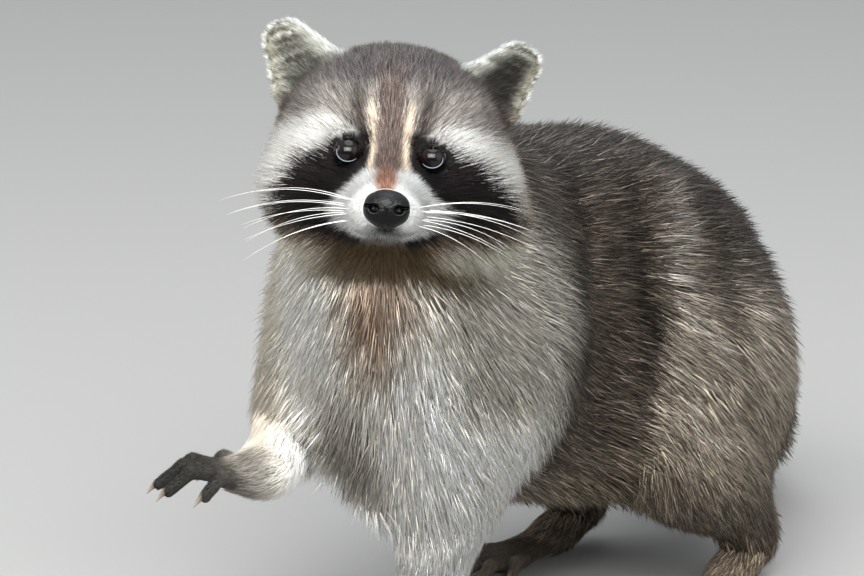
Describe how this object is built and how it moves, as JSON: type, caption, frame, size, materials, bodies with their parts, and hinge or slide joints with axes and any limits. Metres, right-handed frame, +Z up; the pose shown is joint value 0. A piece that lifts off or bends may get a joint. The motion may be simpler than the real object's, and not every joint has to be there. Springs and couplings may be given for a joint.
{
  "type": "raccoon",
  "caption": "Life-size raccoon on its feet, right forepaw lifted, body bent and head turned to its left, ringed tail laid on the floor.",
  "frame": {"origin": "middle of the model's footprint box, on the floor it stands on", "axes": "+Z up; the trunk faces -Y; the animal's left side is +X"},
  "size_m": [0.3462, 0.5672, 0.3632],
  "materials": {
    "coat_grey": "grizzled grey-brown fur, pale tips over dark",
    "coat_white": "short white fur",
    "coat_ear": "short pale fur with a white rim",
    "coat_pale": "whitish grizzled fur",
    "coat_tail": "grey-brown fur with dark rings",
    "paw_skin": "near-black short hair and bare pads",
    "nose_skin": "moist black bare skin",
    "eye": "very dark brown, wet gloss"
  },
  "bodies": {
    "root": {"head": "coat_grey", "muzzle": "coat_white", "nose_pad": "nose_skin", "eye_left": "eye", "eye_right": "eye", "ear_left": "coat_ear", "ear_right": "coat_ear", "neck": "coat_grey", "trunk": "coat_grey", "foreleg_left": "coat_pale", "forepaw_left": "paw_skin", "foreleg_right": "coat_pale", "forepaw_right": "paw_skin", "hindleg_left": "coat_grey", "hindfoot_left": "paw_skin", "hindleg_right": "coat_grey", "hindfoot_right": "paw_skin", "tail_base": "coat_tail", "tail_mid": "coat_tail", "tail_tip": "coat_tail"}
  },
  "joints": []
}
